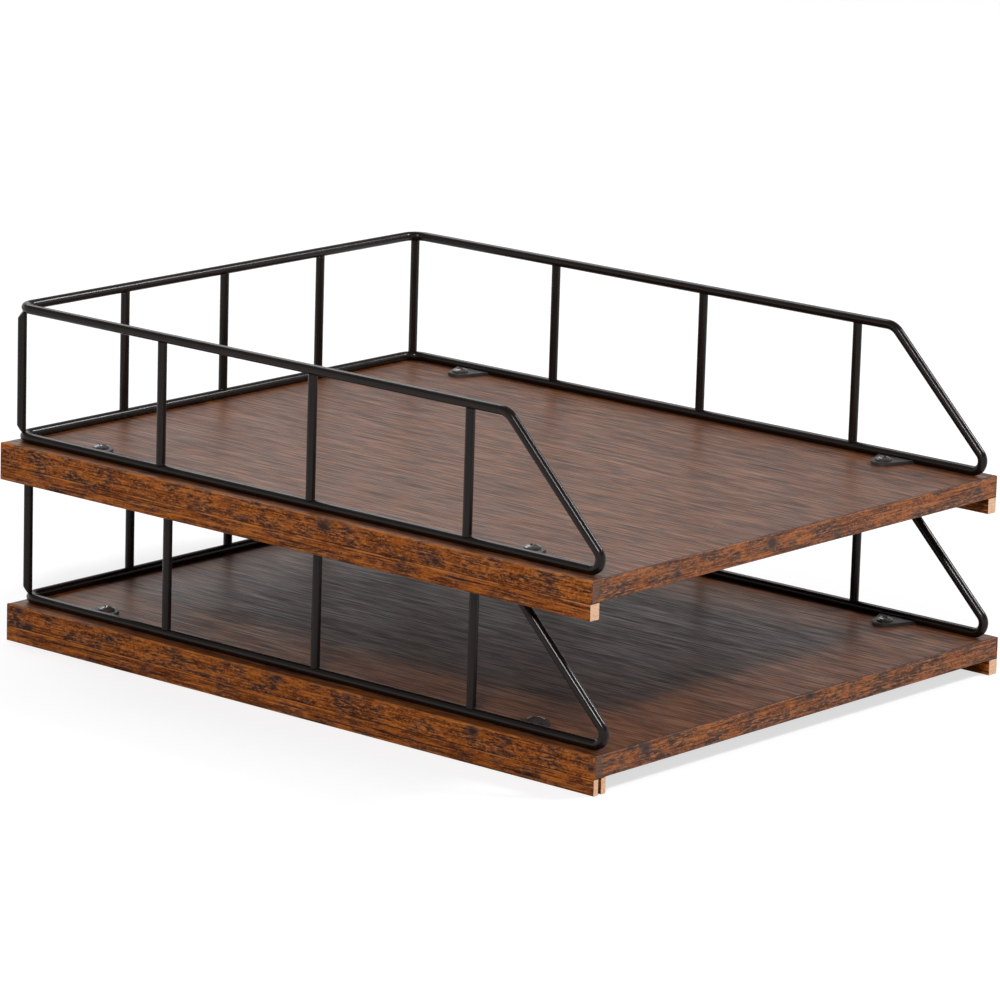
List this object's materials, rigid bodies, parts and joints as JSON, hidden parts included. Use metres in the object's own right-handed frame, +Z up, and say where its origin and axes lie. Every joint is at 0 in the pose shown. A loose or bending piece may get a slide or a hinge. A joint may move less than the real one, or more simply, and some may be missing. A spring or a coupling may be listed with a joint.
{
  "type": "desktop shelf",
  "caption": "Stack of open-front letter trays: wood-look laminate boards on runners, each with a black welded wire guard.",
  "frame": {"origin": "middle of the bounding box's footprint, at the height of the desk", "axes": "+Z up, -Y towards the open front, +X towards the right as seen from the front"},
  "size_m": [0.259, 0.3194, 0.1407],
  "materials": {
    "laminate": "semi-gloss printed wood-grain laminate on fibreboard, with bare lath ends",
    "black_wire": "satin black powder coat",
    "black_screw": "black oxide"
  },
  "bodies": {
    "lower_tray": {"lower_board": "laminate", "lower_left_band": "laminate", "lower_right_band": "laminate", "lower_front_band": "laminate", "lower_rear_band": "laminate", "lower_left_outer_lath": "laminate", "lower_left_inner_lath": "laminate", "lower_right_outer_lath": "laminate", "lower_right_inner_lath": "laminate", "lower_guard_wire": "black_wire", "lower_left_rear_bar": "black_wire", "lower_left_middle_bar": "black_wire", "lower_left_front_bar": "black_wire", "lower_right_rear_bar": "black_wire", "lower_right_middle_bar": "black_wire", "lower_right_front_bar": "black_wire", "lower_rear_left_bar": "black_wire", "lower_rear_middle_bar": "black_wire", "lower_rear_right_bar": "black_wire", "lower_left_corner_bar": "black_wire", "lower_right_corner_bar": "black_wire", "lower_left_front_tab": "black_wire", "lower_right_front_tab": "black_wire", "lower_left_rear_tab": "black_wire", "lower_right_rear_tab": "black_wire", "lower_tab_screws": "black_screw"},
    "upper_tray": {"upper_board": "laminate", "upper_left_band": "laminate", "upper_right_band": "laminate", "upper_front_band": "laminate", "upper_rear_band": "laminate", "upper_left_outer_lath": "laminate", "upper_left_inner_lath": "laminate", "upper_right_outer_lath": "laminate", "upper_right_inner_lath": "laminate", "upper_guard_wire": "black_wire", "upper_left_rear_bar": "black_wire", "upper_left_middle_bar": "black_wire", "upper_left_front_bar": "black_wire", "upper_right_rear_bar": "black_wire", "upper_right_middle_bar": "black_wire", "upper_right_front_bar": "black_wire", "upper_rear_left_bar": "black_wire", "upper_rear_middle_bar": "black_wire", "upper_rear_right_bar": "black_wire", "upper_left_corner_bar": "black_wire", "upper_right_corner_bar": "black_wire", "upper_left_front_tab": "black_wire", "upper_right_front_tab": "black_wire", "upper_left_rear_tab": "black_wire", "upper_right_rear_tab": "black_wire", "upper_tab_screws": "black_screw"}
  },
  "joints": [
    {"name": "upper_tray_lift", "type": "slide", "parent": "lower_tray", "child": "upper_tray", "axis": [0, 0, 1], "range_m": [0, 0.06]}
  ]
}
